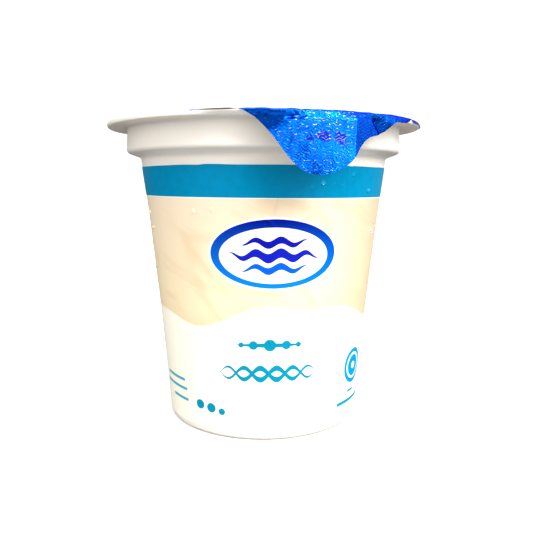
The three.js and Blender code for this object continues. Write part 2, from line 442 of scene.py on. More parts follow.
# The lid, one sheet of foil: a disc on the flange and a tab folded down over the edge
foilLid = {
    "lidTop": 71.2, "thickness": 0.06, "bend": 0.5, "bendCentre": 37.35, "hungRadius": 37.85, "mapRadius": 38.0,
    "settleDrop": 1.9, "tipFlare": 1.15, "flareStart": 4.0, "flareEnd": 16.0,
    "outline": [  # the tab's lower edge: azimuth, drop below the lid's top
        (-7, 0), (-3.6, 1.2), (-1.7, 2.05), (2.1, 4.7), (7.8, 9.45), (11.9, 11.6), (16.6, 12.15), (22.2, 11.05),
        (26, 8.9), (29.2, 6.5), (32.5, 5), (39.1, 3.9), (44.7, 1.6), (52.4, 1.2), (57.4, 0),
    ],
    "creases": [  # azimuth and radius at the lid's top, drift sideways and outwards per mm of drop, columns
        (-8.0, 37.85, 0.0, 0.0, 60),
        (12.9, 37.9, -2.2, 0.157, 100),
        (27.2, 39.3, -0.14, 0.03, 28),
        (32.7, 37.9, 1.63, -0.1, 36),
        (45.0, 38.4, 0.0, 0.0, 40),
        (58.0, 37.85, 0.0, 0.0, 0),
    ],
    "crumples": [(4.2, 3.1, 0.12), (1.7, 7.7, 0.05)],  # size, start, height
    "dents": [  # azimuth at the lid's top, its drift per mm of drop, half width, drop, half drop, height
        (9.6, -1.0, 2.6, 1.55, 0.55, -0.45),  # pucker beside the bend
        (12.6, -0.9, 1.3, 1.3, 1.0, 0.26),
        (6.0, -0.9, 4.0, 0.7, 0.8, 0.22),
        (30.6, 0.0, 4.0, 0.8, 0.75, 0.24),
        (40.6, 0.5, 1.8, 1.6, 1.6, 0.22),
        (45.4, 0.0, 0.9, 1.5, 0.8, -0.4),
    ],
    "valley": (33.4, 1.4, 2.4, -0.34), "valleyFrom": (0.8, 1.9),  # right of the ridge: the same, but open downwards
    "rimWavyAt": (-8.0, -3.0, 44.0, 60.0), "rimWaveHeight": 0.1,
    "rimBumps": [(8.2, 2.0, 0.1), (11.0, 1.3, -0.14), (-3.0, 6.0, 0.1)],  # azimuth, half width, height
    "looseAt": (-21.5, -15.5, -9.4, -7.8), "looseLift": 0.1, "looseOver": 0.4,  # off the flange, over the lip
    "proudAt": (56.0, 60.0, 98.0, 112.0), "proudBy": 0.42,  # the edge stands out right of the tab
    "nick": (-21.4, 1.2, 0.16), "rimWander": 0.04,  # nick: azimuth, half width, how far out
    "sealInner": 33.3, "sealBed": 0.05, "sealWaver": 0.12, "sag": 0.28,
    "wrinkles": [(12.0, 1.0, 0.26), (4.0, 6.0, 0.07)], "settled": 0.06,  # size, start, height
    "skirtRows": 58, "discRows": 46, "restStep": 1.5,
}


def planPoint(radius, azimuth):  # y towards the front
    a = math.radians(azimuth)
    return Vector((radius * math.sin(a), radius * math.cos(a)))


def planAzimuth(at):
    return math.degrees(math.atan2(at.x, at.y))


def tabPlan(column, drop):  # where a column of the tab is in plan, at some drop below the lid's top
    crease, share = column
    left, right = [
        planPoint(radius + outwards * drop, azimuth + sideways * drop)
        for azimuth, radius, sideways, outwards, count in foilLid["creases"][crease:crease + 2]
    ]
    flat = left.lerp(right, share)
    settled = lerp(foilLid["hungRadius"], flat.length, smoothStep(drop, 0, foilLid["settleDrop"]))
    flare = foilLid["tipFlare"] * smoothStep(drop, foilLid["flareStart"], foilLid["flareEnd"])
    return flat.normalized() * (settled + flare)


def splinePoints(points, count):  # a Catmull-Rom curve through the points
    curve = []
    for i in range(count + 1):
        at = (len(points) - 1) * i / count
        k = min(int(at), len(points) - 2)
        t = at - k
        a, b, c, d = (Vector(points[min(max(k + j, 0), len(points) - 1)]) for j in (-1, 0, 1, 2))
        u, v = (c - a) * 0.5, (d - b) * 0.5
        curve.append((2 * b - 2 * c + u + v) * t ** 3 + (3 * c - 3 * b - 2 * u - v) * t ** 2 + u * t + b)
    return curve


tabEdge = splinePoints(foilLid["outline"], 300)
tabEdgeAzimuths = [p.x for p in tabEdge]


def edgeDrop(azimuth):  # how far down the tab's edge lies
    i = bisect.bisect_right(tabEdgeAzimuths, azimuth)
    if i < 1 or i >= len(tabEdge):
        return 0.0
    p, q = tabEdge[i - 1], tabEdge[i]
    return lerp(p.y, q.y, (azimuth - p.x) / (q.x - p.x))


def columnDrop(column):  # where a column of the tab crosses that edge, found by halving
    above, below = 0.0, 20.0
    for _ in range(30):
        middle = (above + below) / 2
        if middle < edgeDrop(planAzimuth(tabPlan(column, middle))):
            above = middle
        else:
            below = middle
    return above


def loosened(azimuth):  # 1 where the foil has come off the flange beside the tab, and stands over the lip
    return hill(azimuth, *foilLid["looseAt"])


def rimLift(azimuth):  # the lid's edge isn't quite flat where the tab bends away
    wavy = foilLid["rimWaveHeight"] * hill(azimuth, *foilLid["rimWavyAt"]) * waver(azimuth / 2.7, 1.5, 0)
    bumps = sum(height * bump(azimuth, centre, halfWidth) for centre, halfWidth, height in foilLid["rimBumps"])
    return wavy + bumps + foilLid["looseLift"] * loosened(azimuth)


def crumple(azimuth, drop):  # unevenness of the hanging foil, outwards
    along = math.radians(azimuth) * foilLid["mapRadius"]
    lift = sum(waver(along / size, drop / size, start) * height for size, start, height in foilLid["crumples"])
    lift *= smoothStep(drop, 0.3, 1.6)
    lift += abs(waver(along / 0.9, drop / 1.6, 2.2)) * 0.14 * bump(drop, 0.7, 1.2)  # small puckers in the bend
    for centre, drift, halfWidth, lowness, halfDrop, height in foilLid["dents"]:
        lift += height * bump(azimuth, centre + drift * drop, halfWidth) * bump(drop, lowness, halfDrop)
    centre, drift, halfWidth, height = foilLid["valley"]
    lift += height * bump(azimuth, centre + drift * drop, halfWidth) * smoothStep(drop, *foilLid["valleyFrom"])
    return lift


def skirtPoint(column, depth, share):  # a point of the tab, and where it lies on the flat map
    bend, start = foilLid["bend"], foilLid["bendCentre"]
    turnAngle = math.acos(max(1 - depth / bend, 0.0)) if depth < bend else math.pi / 2
    path = share * (bend * turnAngle + max(depth - bend, 0.0))
    angle = min(path / bend, turnAngle)
    drop = bend * (1 - math.cos(angle)) + path - bend * angle
    at = tabPlan(column, drop)
    radius = at.length
    if path <= bend * turnAngle:  # still in the bend
        radius = start + bend * math.sin(angle)
        radius += (at.length - foilLid["hungRadius"]) * (radius - start) / bend
    azimuth = planAzimuth(at)
    uneven = radius + crumple(azimuth, drop) * smoothStep(drop, 0.02, 0.4)
    if foilLid["lidTop"] - drop > cup["flangeTop"] - cup["lipHeight"] - 0.2:  # the lip is behind it
        uneven = max(uneven, min(radius, foilLid["hungRadius"] - 0.18))
    at = at.normalized() * uneven
    height = foilLid["lidTop"] + rimLift(azimuth) * (1 - smoothStep(drop, 0.4, 1.6)) - drop
    onMap = math.radians(azimuth) * foilLid["mapRadius"], -(start + path)
    return Vector((at.x, -at.y, height)), Vector(onMap)


def rimRadius(azimuth):  # where the lid's cut edge lies, away from the tab
    edge = foilLid["bendCentre"] - 0.02 + foilLid["proudBy"] * hill(azimuth, *foilLid["proudAt"])
    centre, halfWidth, outwards = foilLid["nick"]
    edge += outwards * bump(azimuth, centre, halfWidth)
    edge += foilLid["looseOver"] * loosened(azimuth) * (1 + 0.5 * waver(azimuth / 1.1, 6, 0))
    return edge + foilLid["rimWander"] * waver(azimuth / 4, 0, 5)


def discPoint(azimuth, share, inTab):  # a point of the lid's top, and where it lies on the flat map
    edge = foilLid["bendCentre"] if inTab else rimRadius(azimuth)
    radius = edge * (1 - (1 - share) ** 1.8)  # the rows crowd towards the edge
    a = math.radians(azimuth)
    x, y = radius * math.sin(a), -radius * math.cos(a)
    height = foilLid["lidTop"] + rimLift(azimuth) * smoothStep(radius, 36.4, 37.2)
    inside = 1 - smoothStep(radius, foilLid["sealInner"] - 2.2, foilLid["sealInner"])
    wrinkled = sum(waver(x / size, y / size, start) * rise for size, start, rise in foilLid["wrinkles"])
    height += inside * (wrinkled - foilLid["settled"] - foilLid["sag"] * (1 - (radius / 40) ** 2))
    ring = 1 - smoothStep(abs(radius - foilLid["sealInner"] + 1.6), 0, 1.5)
    height += ring * (foilLid["sealWaver"] * waver(azimuth / 2.6, 3, 2) - foilLid["sealBed"])
    if not inTab:
        over = max(radius - 37.2, 0.0)  # beyond the flange's corner the edge turns down
        height -= 2.6 * over * over * (1 - smoothStep(loosened(azimuth), 0.0, 0.3))
    return Vector((x, y, height)), Vector((x, y))


def mappedGrid(name, columns, rows, pointAt):  # a grid whose points are put where pointAt says
    bpy.ops.mesh.primitive_grid_add(x_subdivisions=columns, y_subdivisions=rows, size=2, location=(0, 0, 0))
    grid = bpy.context.object
    grid.name = name
    flats = {}
    for vertex in grid.data.vertices:
        column = round((vertex.co.x + 1) / 2 * columns)
        row = round((vertex.co.y + 1) / 2 * rows)
        place, flats[vertex.index] = pointAt(column, row / rows)
        vertex.co = place * mm
    sheetMap = grid.data.uv_layers.active or grid.data.uv_layers.new(name="foilFlat")
    sheetMap.name = "foilFlat"
    for loop in grid.data.loops:
        sheetMap.data[loop.index].uv = flats[loop.vertex_index]
    return grid


def makeLid():
    creases = foilLid["creases"]
    tabColumns = [(i, j / crease[-1]) for i, crease in enumerate(creases) for j in range(crease[-1])]
    tabColumns.append((len(creases) - 2, 1.0))
    depths = [max(columnDrop(column), 0.0) for column in tabColumns]
    tabAzimuths = [planAzimuth(tabPlan(column, 0)) for column in tabColumns]
    restCount = round((360 - (tabAzimuths[-1] - tabAzimuths[0])) / foilLid["restStep"])
    rest = [lerp(tabAzimuths[-1], tabAzimuths[0] + 360, i / restCount) for i in range(1, restCount + 1)]
    azimuths = tabAzimuths + rest
    lastTab = len(tabAzimuths) - 1

    def onDisc(column, share):
        return discPoint(turnFrom(0, azimuths[column]), share, 0 < column < lastTab)

    def onSkirt(column, share):
        return skirtPoint(tabColumns[column], depths[column], share ** 1.5)

    disc = mappedGrid("pot_foil_lid", len(azimuths) - 1, foilLid["discRows"], onDisc)
    skirt = mappedGrid("pot_foil_tab", lastTab, foilLid["skirtRows"], onSkirt)
    joinInto(disc, [skirt])
    bpy.ops.object.mode_set(mode="EDIT")
    bpy.ops.mesh.select_all(action="SELECT")
    bpy.ops.mesh.remove_doubles(threshold=0.004 * mm)
    bpy.ops.mesh.normals_make_consistent(inside=False)
    bpy.ops.object.mode_set(mode="OBJECT")
    if sum(p.normal.z * p.area for p in disc.data.polygons) < 0:  # the lid's top has to face up
        bpy.ops.object.mode_set(mode="EDIT")
        bpy.ops.mesh.select_all(action="SELECT")
        bpy.ops.mesh.flip_normals()
        bpy.ops.object.mode_set(mode="OBJECT")
    thicken = disc.modifiers.new("sheet", "SOLIDIFY")
    thicken.thickness = foilLid["thickness"] * mm
    thicken.offset = -1
    thicken.material_offset = 1
    thicken.material_offset_rim = 1
    return disc


lidPiece = makeLid()
print("stage: foil lid is pressed and folded")

# Drops of condensed water on the label
droplets = {
    "places": [  # azimuth, height, radius
        (20.2, 56.8, 0.36), (25.0, 57.6, 0.52), (30.4, 57.4, 0.34), (34.7, 57.2, 0.26), (41.1, 59.3, 0.4),
        (53.4, 55.9, 0.46), (55.8, 48.7, 0.3), (64.0, 46.6, 0.62), (62.0, 49.0, 0.3), (43.7, 35.4, 0.42),
        (29.4, 34.3, 0.55), (35.9, 50.8, 0.34), (-9.4, 34.4, 0.3), (-70.0, 50.6, 0.45), (-66.0, 47.2, 0.34),
        (-31.0, 51.6, 0.5), (118.0, 51.0, 0.45), (140.0, 30.0, 0.35), (-140.0, 42.0, 0.4), (67.0, 48.2, 0.24),
        (69.5, 47.2, 0.2), (38.6, 50.6, 0.22), (60.5, 44.0, 0.26),
    ],
    "segments": 20, "rings": 12, "stretch": (0.92, 1.08, 0.85), "cutAt": -0.05, "sunk": 0.01,
}


def makeDroplets():
    drops = []
    for azimuth, height, size in droplets["places"]:
        outwards = skyward(azimuth, 0)
        bpy.ops.mesh.primitive_uv_sphere_add(
            segments=droplets["segments"], ring_count=droplets["rings"], radius=size * mm,
        )
        drop = bpy.context.object
        bpy.ops.object.mode_set(mode="EDIT")
        bpy.ops.mesh.select_all(action="SELECT")
        cut = (0, 0, droplets["cutAt"] * size * mm)
        bpy.ops.mesh.bisect(plane_co=cut, plane_no=(0, 0, 1), use_fill=True, clear_inner=True)
        bpy.ops.object.mode_set(mode="OBJECT")
        drop.scale = droplets["stretch"]
        drop.rotation_euler = outwards.to_track_quat("Z", "Y").to_euler()
        radius = wallRadius(height) + label["gap"] + label["film"] + labelRelief(azimuth, height)
        drop.location = outwards * (radius - droplets["sunk"]) * mm + Vector((0, 0, height * mm))
        settle(drop)
        drops.append(drop)
    joinInto(drops[0], drops)
    drops[0].name = "water_drops"
    settle(drops[0])
    return drops[0]


dropsPiece = makeDroplets()
shadeSmooth(dropsPiece, 60)
print("stage: droplets are on the label")

# Polystyrene, thermoformed: warm white, a little light goes in, satin gloss with a faint orange peel
cupLook = {
    "colour": "#F3EDE4", "shade": "#EFE8DE", "cloudSize": 16.0, "roughness": 0.33, "ior": 1.59,
    "peelSize": 2.4, "peelDepth": 0.012,
    "lightInside": 0.25, "lightReach": 1.2, "reachByColour": (1.0, 0.85, 0.7),
}
polystyrene, tree, output = newMaterial("thermoformed_polystyrene")
place = addNode(tree, "TexCoord")[3]
cloud = addNode(tree, "TexNoise", {"Vector": place, "Scale": 1 / (cupLook["cloudSize"] * mm), "Detail": 2.0})[0]
tone = addNode(tree, "Mix", {
    0: cloud, 6: linearColour(cupLook["shade"]), 7: linearColour(cupLook["colour"]),
}, data_type="RGBA")[2]
peel = addNode(tree, "TexNoise", {"Vector": place, "Scale": 1 / (cupLook["peelSize"] * mm), "Detail": 1.0})[0]
relief = addNode(tree, "Bump", {"Height": peel, "Distance": cupLook["peelDepth"] * mm, "Strength": 1.0})[0]
shine = addNode(tree, "MapRange", {
    "Value": cloud, "To Min": cupLook["roughness"] - 0.04, "To Max": cupLook["roughness"] + 0.05,
})[0]
plastic = addNode(tree, "BsdfPrincipled", {
    "Base Color": tone, "Roughness": shine, "IOR": cupLook["ior"], "Normal": relief,
    "Subsurface Weight": cupLook["lightInside"], "Subsurface Radius": cupLook["reachByColour"],
    "Subsurface Scale": cupLook["lightReach"] * mm,
})[0]
tree.links.new(plastic, output.inputs["Surface"])
paint(cupPiece, polystyrene)

# Places on the label are u, mm round the wall from the front, and z, mm up.
labelLook = {
    "white": "#FCF7E6", "creamTop": "#EEDCC2", "creamLow": "#F3E1BE", "tan": "#DDC39C", "peach": "#DCB698",
    "teal": "#0090BC", "tealDeep": "#0082A6", "line": "#F2F2EA", "bright": "#FFFFFF",
    "roughness": 0.3, "ior": 1.49, "gloss": 0.07,
    "radiusAtBase": 23.3, "radiusPerHeight": 0.0975,  # the wall as a cone, for u
    "radiusBehind": 27.0,  # one radius for the prints behind, so that their sides stand upright
    "bandBottom": 54.4, "bandTilt": -0.0049, "lineHeight": 0.18, "lineSoftness": 0.06,
    "foldTurn": 0.5, "foldLength": 19.0, "foldWidth": 8.0, "foldFrom": (0.47, 0.72), "foldShare": 0.5,
    "creamFade": (52.0, 33.0),  # heights between which the cream turns warmer
    # painted shade: where the cream goes peach towards the right side, by the sine of the azimuth
    "peachShadeFrom": (0.42, 0.9), "peachShadeShare": 0.66,  # sine of the azimuth
    "creamEdge": 28.8, "swells": [(3.0, 0.7, 2.3), (7.0, 2.1, 0.9)],  # waves per turn, start, height
    "edgeSoftness": (-0.15, 0.25), "edgeShade": (3.5, 0.28),
    "mottlePerMm": 0.5, "peelPerMm": 0.8, "peelShare": 0.1, "creaseDepth": 0.12,
    "badge": {
        "centre": (2.4, 42.7), "half": (13.9, 7.4), "inner": (11.9, 6.0), "halo": 0.4, "drop": -0.35,
        "top": "#02108C", "low": "#0A86E6",
    },
    "ribbons": [  # centre u, centre z, half length, amplitude, wavelength, half thickness, colour
        (1.2, 16.0, 11.6, 1.35, 7.2, 0.68, "#0A8FAA"),
        (1.2, 16.0, 11.6, -1.35, 7.2, 0.68, "#0A8FAA"),
        (1.5, 22.6, 7.8, 0.0, 7.0, 0.5, "#0A8FAA"),
        (2.4, 45.2, 7.2, 0.55, 5.4, 0.8, "#171CA0"),
        (2.4, 42.4, 9.8, 0.6, 5.4, 1.05, "#1A26AE"),
        (2.4, 39.6, 7.2, 0.55, 5.4, 0.8, "#0B62D2"),
    ],
    "spots": [  # u, z, half width, half height, corner radius, colour
        (1.5, 22.6, 1.35, 1.35, 1.35, "#0A8FAA"),
        (-2.1, 22.6, 1.0, 1.0, 1.0, "#0A8FAA"),
        (5.1, 22.6, 1.0, 1.0, 1.0, "#0A8FAA"),
        (-4.8, 22.6, 0.6, 0.6, 0.6, "#0A8FAA"),
        (7.8, 22.6, 0.6, 0.6, 0.6, "#0A8FAA"),
        (26.0, 14.2, 4.4, 4.4, 4.4, "#0094C4"),
        (26.0, 14.2, 3.3, 3.3, 3.3, "#F6FBF8"),
        (26.0, 14.2, 2.7, 2.7, 2.7, "#0094C4"),
        (26.0, 14.2, 0.9, 0.9, 0.9, "#F6FBF8"),
        (25.0, 8.0, 1.5, 0.35, 0.3, "#0A93AE"),
        (25.0, 5.6, 6.0, 0.45, 0.4, "#0A93AE"),
        (-25.0, 11.8, 4.6, 0.36, 0.3, "#54AFC0"),
        (-25.0, 9.6, 5.4, 0.36, 0.3, "#54AFC0"),
        (-36.2, 43.2, 0.8, 0.5, 0.4, "#3E98AC"),
        (-35.0, 37.2, 1.5, 0.32, 0.3, "#3E98AC"),
        (-22.6, 7.0, 3.4, 0.36, 0.3, "#54AFC0"),
        (-15.2, 7.1, 1.15, 1.15, 1.15, "#0A93AE"),
        (-12.1, 6.8, 1.15, 1.15, 1.15, "#0A93AE"),
        (-9.4, 6.3, 0.8, 0.8, 0.8, "#0A93AE"),
    ],
    "rows": [  # behind: centre, half size, spacing of the rows
        ((62.0, 40.0), (9.5, 7.0), 1.7), ((-64.0, 38.0), (8.0, 8.5), 1.9), ((61.0, 15.0), (8.5, 5.0), 1.7),
    ],
    "rowInk": "#2F9FB6", "dashesPerMm": 0.55, "dashesMissing": 0.22, "rowsAbove": (0.62, 0.78),
    "bars": ((-60.0, 15.0), (7.0, 4.6)), "barInk": "#16418E", "barsPerMm": 2.6,
    "spotSoftness": 0.05, "ribbonSoftness": 0.04, "badgeSoftness": 0.006, "boxCorner": 0.1,
}

# Printed polypropylene film: flat ink colours under a soft gloss
film, tree, output = newMaterial("printed_polypropylene_film")
place = addNode(tree, "TexCoord")[3]
axes = addNode(tree, "SeparateXYZ", {0: place})
angle = azimuthOf(tree, axes)
height = addNode(tree, "Math", {0: axes[2], 1: 1 / mm}, operation="MULTIPLY")[0]
radius = addNode(tree, "Math", {
    0: height, 1: labelLook["radiusPerHeight"], 2: labelLook["radiusAtBase"],
}, operation="MULTIPLY_ADD")[0]
roundWall = addNode(tree, "Math", {0: angle, 1: radius}, operation="MULTIPLY")[0]
onLabel = addNode(tree, "CombineXYZ", {0: roundWall, 1: height, 2: 0.0})[0]
roundBehind = addNode(tree, "Math", {0: angle, 1: labelLook["radiusBehind"]}, operation="MULTIPLY")[0]
behind = addNode(tree, "CombineXYZ", {0: roundBehind, 1: height, 2: 0.0})[0]


def spotMask(centre, half, corner, where=onLabel):  # 1 inside a rounded box
    moved = addNode(tree, "VectorMath", {0: where, 1: (*centre, 0.0)}, operation="SUBTRACT")[0]
    moved = addNode(tree, "VectorMath", {0: moved}, operation="ABSOLUTE")[0]
    straight = (half[0] - corner, half[1] - corner, 1.0)
    past = addNode(tree, "VectorMath", {0: moved, 1: straight}, operation="SUBTRACT")[0]
    past = addNode(tree, "VectorMath", {0: past, 1: (0.0, 0.0, 0.0)}, operation="MAXIMUM")[0]
    away = addNode(tree, "VectorMath", {0: past}, operation="LENGTH")[1]
    soft = labelLook["spotSoftness"]
    return addNode(tree, "MapRange", {"Value": away, "From Min": corner + soft, "From Max": corner - soft})[0]


def badgeMask(centre, half):  # 1 inside an oval
    reach = ovalReach(tree, onLabel, centre, half)
    soft = labelLook["badgeSoftness"]
    return addNode(tree, "MapRange", {"Value": reach, "From Min": 1 + soft, "From Max": 1 - soft})[0]


def ribbonMask(centreU, centreZ, halfLength, amplitude, wavelength, halfThickness):  # wavy, with pointed ends
    along = addNode(tree, "Math", {0: roundWall, 1: centreU}, operation="SUBTRACT")[0]
    wave = sineWave(tree, along, wavelength)
    wave = addNode(tree, "Math", {0: wave, 1: amplitude, 2: centreZ}, operation="MULTIPLY_ADD")[0]
    off = addNode(tree, "Math", {0: height, 1: wave}, operation="SUBTRACT")[0]
    off = addNode(tree, "Math", {0: off}, operation="ABSOLUTE")[0]
    share = addNode(tree, "Math", {0: along, 1: halfLength}, operation="DIVIDE")[0]
    share = addNode(tree, "Math", {0: share, 1: share}, operation="MULTIPLY")[0]
    taper = addNode(tree, "Math", {0: share, 1: -halfThickness, 2: halfThickness}, operation="MULTIPLY_ADD")[0]
    inside = addNode(tree, "Math", {0: taper, 1: off}, operation="SUBTRACT")[0]
    soft = labelLook["ribbonSoftness"]
    return addNode(tree, "MapRange", {"Value": inside, "From Min": -soft, "From Max": soft})[0]


def cellMask(perMm, share):  # 1 in all but a share of the cells of a grid on the back
    cells = addNode(tree, "VectorMath", {0: behind, 1: (*perMm, 0.0)}, operation="MULTIPLY")[0]
    cells = addNode(tree, "VectorMath", {0: cells}, operation="FLOOR")[0]
    cells = addNode(tree, "TexWhiteNoise", {"Vector": cells}, noise_dimensions="2D")[0]
    return addNode(tree, "Math", {0: cells, 1: share}, operation="GREATER_THAN")[0]


def rowsMask(centre, half, pitch):  # rows of short dashes in a box
    low, high = labelLook["rowsAbove"]
    rows = addNode(tree, "MapRange", {"Value": sineWave(tree, height, pitch), "From Min": low, "From Max": high})[0]
    dashes = cellMask((labelLook["dashesPerMm"], 1 / pitch), labelLook["dashesMissing"])
    rows = addNode(tree, "Math", {0: rows, 1: dashes}, operation="MULTIPLY")[0]
    box = spotMask(centre, half, labelLook["boxCorner"], behind)
    return addNode(tree, "Math", {0: rows, 1: box}, operation="MULTIPLY")[0]


def barsMask(centre, half):  # upright bars of uneven width in a box
    bars = cellMask((labelLook["barsPerMm"], 0.0), 0.5)
    box = spotMask(centre, half, labelLook["boxCorner"], behind)
    return addNode(tree, "Math", {0: bars, 1: box}, operation="MULTIPLY")[0]


# soft folds of cream: long blotches, tan in their hollows; the peach towards the right is painted shade, darkening
# that side of the cream
field = addNode(tree, "VectorRotate", {
    "Vector": onLabel, "Angle": labelLook["foldTurn"],
}, rotation_type="Z_AXIS")[0]
stretch = (1 / labelLook["foldLength"], 1 / labelLook["foldWidth"], 0.0)
field = addNode(tree, "VectorMath", {0: field, 1: stretch}, operation="MULTIPLY")[0]
folds = addNode(tree, "TexNoise", {
    "Vector": field, "Scale": 1.0, "Detail": 2.0, "Roughness": 0.4, "Distortion": 1.1,
})[0]
hollow = addNode(tree, "MapRange", {
    "Value": folds, "From Min": labelLook["foldFrom"][0], "From Max": labelLook["foldFrom"][1],
    "To Max": labelLook["foldShare"],
}, interpolation_type="SMOOTHSTEP")[0]
lowness = addNode(tree, "MapRange", {
    "Value": height, "From Min": labelLook["creamFade"][0], "From Max": labelLook["creamFade"][1],
})[0]
sideways = addNode(tree, "Math", {0: angle}, operation="SINE")[0]
# painted shade: the cream goes darker peach towards the right side
paintedShadeRight = addNode(tree, "MapRange", {
    "Value": sideways, "From Min": labelLook["peachShadeFrom"][0], "From Max": labelLook["peachShadeFrom"][1],
    "To Max": labelLook["peachShadeShare"],
}, interpolation_type="SMOOTHSTEP")[0]

# the cream ends in slow waves above the white
edge = labelLook["creamEdge"]
for waves, start, rise in labelLook["swells"]:
    swell = sineWave(tree, angle, 2 * math.pi / waves, start)
    edge = addNode(tree, "Math", {0: swell, 1: rise, 2: edge}, operation="MULTIPLY_ADD")[0]
overEdge = addNode(tree, "Math", {0: height, 1: edge}, operation="SUBTRACT")[0]
creamMask = addNode(tree, "MapRange", {
    "Value": overEdge, "From Min": labelLook["edgeSoftness"][0], "From Max": labelLook["edgeSoftness"][1],
})[0]
nearEdge = addNode(tree, "MapRange", {
    "Value": overEdge, "From Max": labelLook["edgeShade"][0], "To Min": labelLook["edgeShade"][1], "To Max": 0.0,
})[0]
cream = linearColour(labelLook["creamTop"])
for share, colour in ((lowness, "creamLow"), (hollow, "tan"), (paintedShadeRight, "peach"), (nearEdge, "tan")):
    cream = addNode(tree, "Mix", {0: share, 6: cream, 7: linearColour(labelLook[colour])}, data_type="RGBA")[2]

# the badge's ring runs from dark at its top to light
badge = labelLook["badge"]
centreU, centreZ = badge["centre"]
fall = addNode(tree, "MapRange", {
    "Value": height, "From Min": centreZ + badge["half"][1], "From Max": centreZ - badge["half"][1],
})[0]
ringInk = addNode(tree, "Mix", {
    0: fall, 6: linearColour(badge["top"]), 7: linearColour(badge["low"]),
}, data_type="RGBA")[2]

# the band leans a little, with a thin pale line along its lower edge
tilted = addNode(tree, "Math", {
    0: axes[0], 1: -labelLook["bandTilt"] / mm, 2: height,
}, operation="MULTIPLY_ADD")[0]
bottom, soft = labelLook["bandBottom"], labelLook["lineSoftness"]
overLine, overBand = (
    addNode(tree, "MapRange", {"Value": tilted, "From Min": start, "From Max": start + soft})[0]
    for start in (bottom - labelLook["lineHeight"], bottom)
)
mottle = addNode(tree, "TexNoise", {"Vector": onLabel, "Scale": labelLook["mottlePerMm"], "Detail": 2.0})[0]
teal = addNode(tree, "Mix", {
    0: mottle, 6: linearColour(labelLook["tealDeep"]), 7: linearColour(labelLook["teal"]),
}, data_type="RGBA")[2]

# the print, laid on from the bottom layer to the top one
bright = linearColour(labelLook["bright"])
layers = [
    (creamMask, cream),
    (badgeMask(badge["centre"], tuple(h + badge["halo"] for h in badge["half"])), bright),
    (badgeMask(badge["centre"], badge["half"]), ringInk),
    (badgeMask((centreU, centreZ + badge["drop"]), badge["inner"]), bright),
]
layers += [(ribbonMask(*shape), linearColour(colour)) for *shape, colour in labelLook["ribbons"]]
layers += [
    (spotMask((u, z), (halfWidth, halfHeight), corner), linearColour(colour))
    for u, z, halfWidth, halfHeight, corner, colour in labelLook["spots"]
]
layers += [(rowsMask(*rows), linearColour(labelLook["rowInk"])) for rows in labelLook["rows"]]
layers += [
    (barsMask(*labelLook["bars"]), linearColour(labelLook["barInk"])),
    (overLine, linearColour(labelLook["line"])),
    (overBand, teal),
]
ink = linearColour(labelLook["white"])
for mask, colour in layers:
    ink = addNode(tree, "Mix", {0: mask, 6: ink, 7: colour}, data_type="RGBA")[2]

filmPeel = addNode(tree, "TexNoise", {"Vector": onLabel, "Scale": labelLook["peelPerMm"], "Detail": 2.0})[0]
raised = addNode(tree, "Math", {0: filmPeel, 1: labelLook["peelShare"]}, operation="MULTIPLY")[0]
for azimuth, z, halfLength, halfWidth, tilt, lift in label["creases"]:  # the sharp middle of each crease
    u = math.radians(azimuth) * (labelLook["radiusAtBase"] + labelLook["radiusPerHeight"] * z)
    reach = ovalReach(tree, onLabel, (u, z), (halfWidth * 0.8, halfLength), tilt)
    crease = addNode(tree, "MapRange", {
        "Value": reach, "To Min": lift / labelLook["creaseDepth"], "To Max": 0.0,
    })[0]
    raised = addNode(tree, "Math", {0: raised, 1: crease}, operation="ADD")[0]
relief = addNode(tree, "Bump", {"Height": raised, "Distance": labelLook["creaseDepth"] * mm, "Strength": 1.0})[0]
shine = addNode(tree, "MapRange", {
    "Value": mottle, "To Min": labelLook["roughness"] - 0.05, "To Max": labelLook["roughness"] + 0.05,
})[0]
skin = addNode(tree, "BsdfPrincipled", {
    "Base Color": ink, "Roughness": shine, "IOR": labelLook["ior"], "Specular IOR Level": labelLook["gloss"],
    "Normal": relief,
})[0]
tree.links.new(skin, output.inputs["Surface"])
paint(labelPiece, film)

# Places on the foil are those of its flat map: mm from the lid's centre, and down the tab mm past it.
foilLook = {
    # paintedGlint: the pale blue painted on the embossed crests as highlight
    "lacquer": "#006CE4", "lacquerDeep": "#005CD0", "paintedGlint": "#BFDDFF", "grazing": "#2878FF",
    "roughness": 0.17, "coat": 0.08, "coatRoughness": 0.05,
    "lineSpacing": 0.6, "lineWave": 1.5, "waveHeight": 0.2, "lineDepth": 0.019,  # the embossed lines
    "wander": (0.38, 9.0, 1.1), "jitter": (0.9, 5.0),  # patches per mm, then how far they shift the lines
    "breaks": (1.1, 0.36, 0.55, 0.25), "grit": (3.2, 0.35), "pipsPerMm": (1.4, 2.7, 1.0), "pips": (0.66, 0.8, 2.4),
    "sealRadius": 35.0, "sealHalf": (1.3, 1.7), "grooveSpacing": 0.65,
    "firstCrease": 63.1, "firstSlope": -1.46, "creaseHalf": 0.5, "pressedFlat": 0.4,
    "tabStart": -37.3, "crestFrom": (0.95, 1.7),
    "bend": (-43.6, -39.4, 0.2, 0.8), "rim": (-37.6, -36.9, 0.06), "ridge": (17.6, 18.4, 0.25),
    "stamp": "#1E1E92", "stampPaintedGlint": "#A9B4FF", "stampShare": 0.9, "stampDull": 0.6,
    "stampSpots": [((11.4, -42.6), (1.7, 1.0)), ((14.7, -43.0), (1.5, 1.15)), ((8.8, -43.2), (1.0, 0.35))],
    "stampRagged": (1.3, 1.4, 1.45, 1.7), "stampCrest": (0.75, 1.25),
}

# Lacquered aluminium foil, embossed: clear blue over metal, worm-like ridges that glint, mirror highlights
lacquered, tree, output = newMaterial("embossed_lacquered_aluminium")
flat = addNode(tree, "UVMap", uv_map="foilFlat")[0]
flatAxes = addNode(tree, "SeparateXYZ", {0: flat})

